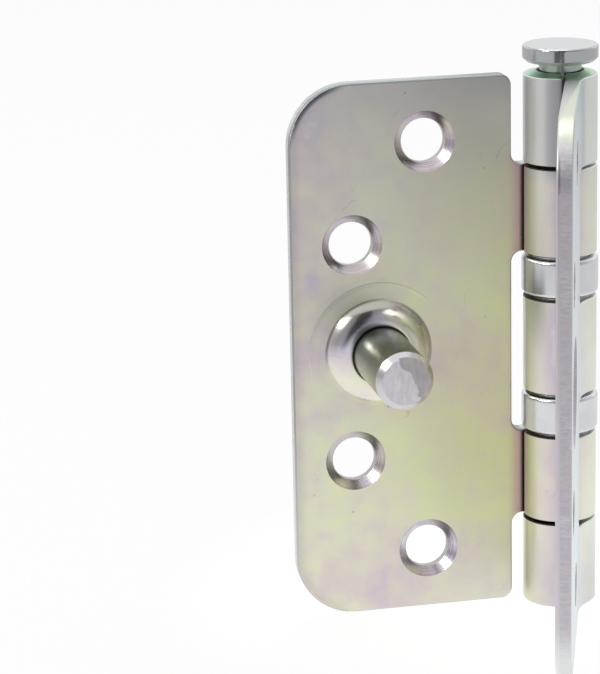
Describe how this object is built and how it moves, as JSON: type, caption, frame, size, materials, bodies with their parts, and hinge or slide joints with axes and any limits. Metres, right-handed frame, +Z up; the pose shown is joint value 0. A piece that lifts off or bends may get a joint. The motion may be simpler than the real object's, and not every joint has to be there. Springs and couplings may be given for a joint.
{
  "type": "ball bearing hinge",
  "caption": "Butt hinge of rolled zinc-plated sheet with a loose pin, ball bearing rings between its knuckles and a security pin that enters a hole in the facing leaf.",
  "frame": {"origin": "on the barrel's axis, at its lower end", "axes": "+Z up along the barrel's axis; the pin leaf runs along -X with its back towards +Y"},
  "size_m": [0.0508, 0.0494, 0.0936],
  "materials": {
    "leaf_zinc": "zinc plated, pale iridescent passivation, satin",
    "pin_zinc": "zinc plated, bright",
    "security_zinc": "zinc plated, turned, bright",
    "shell_zinc": "zinc plated, bright, smooth",
    "race_steel": "hardened steel, ground",
    "ball_steel": "polished bearing steel",
    "cage_brass": "stamped brass, plain"
  },
  "bodies": {
    "pin_leaf": {"pin_leaf": "leaf_zinc", "security_pin": "security_zinc", "upper_bearing_top_race": "race_steel", "lower_bearing_bottom_race": "race_steel", "lower_bearing_shell": "shell_zinc"},
    "hole_leaf": {"hole_leaf": "leaf_zinc", "upper_bearing_bottom_race": "race_steel", "upper_bearing_shell": "shell_zinc", "lower_bearing_top_race": "race_steel"},
    "hinge_pin": {"hinge_pin": "pin_zinc"},
    "upper_balls": {"upper_ball_cage": "cage_brass", "upper_ball_01": "ball_steel", "upper_ball_02": "ball_steel", "upper_ball_03": "ball_steel", "upper_ball_04": "ball_steel", "upper_ball_05": "ball_steel", "upper_ball_06": "ball_steel", "upper_ball_07": "ball_steel", "upper_ball_08": "ball_steel", "upper_ball_09": "ball_steel", "upper_ball_10": "ball_steel"},
    "lower_balls": {"lower_ball_cage": "cage_brass", "lower_ball_01": "ball_steel", "lower_ball_02": "ball_steel", "lower_ball_03": "ball_steel", "lower_ball_04": "ball_steel", "lower_ball_05": "ball_steel", "lower_ball_06": "ball_steel", "lower_ball_07": "ball_steel", "lower_ball_08": "ball_steel", "lower_ball_09": "ball_steel", "lower_ball_10": "ball_steel"}
  },
  "joints": [
    {"name": "leaf_swing", "type": "hinge", "parent": "pin_leaf", "child": "hole_leaf", "pos_m": [0, 0, 0], "axis": [0, 0, 1], "range_deg": [-71, 229]},
    {"name": "pin_lift", "type": "slide", "parent": "hole_leaf", "child": "hinge_pin", "axis": [0, 0, 1], "range_m": [-0.00145, 0.0715]},
    {"name": "upper_ball_roll", "type": "hinge", "parent": "pin_leaf", "child": "upper_balls", "pos_m": [0, 0, 0.056], "axis": [0, 0, 1], "range_deg": [-35.5, 114.5]},
    {"name": "lower_ball_roll", "type": "hinge", "parent": "pin_leaf", "child": "lower_balls", "pos_m": [0, 0, 0.033], "axis": [0, 0, 1], "range_deg": [-35.5, 114.5]}
  ],
  "couplings": [
    {"joint": "upper_ball_roll", "follows": "leaf_swing", "ratio": 0.5},
    {"joint": "lower_ball_roll", "follows": "leaf_swing", "ratio": 0.5}
  ]
}
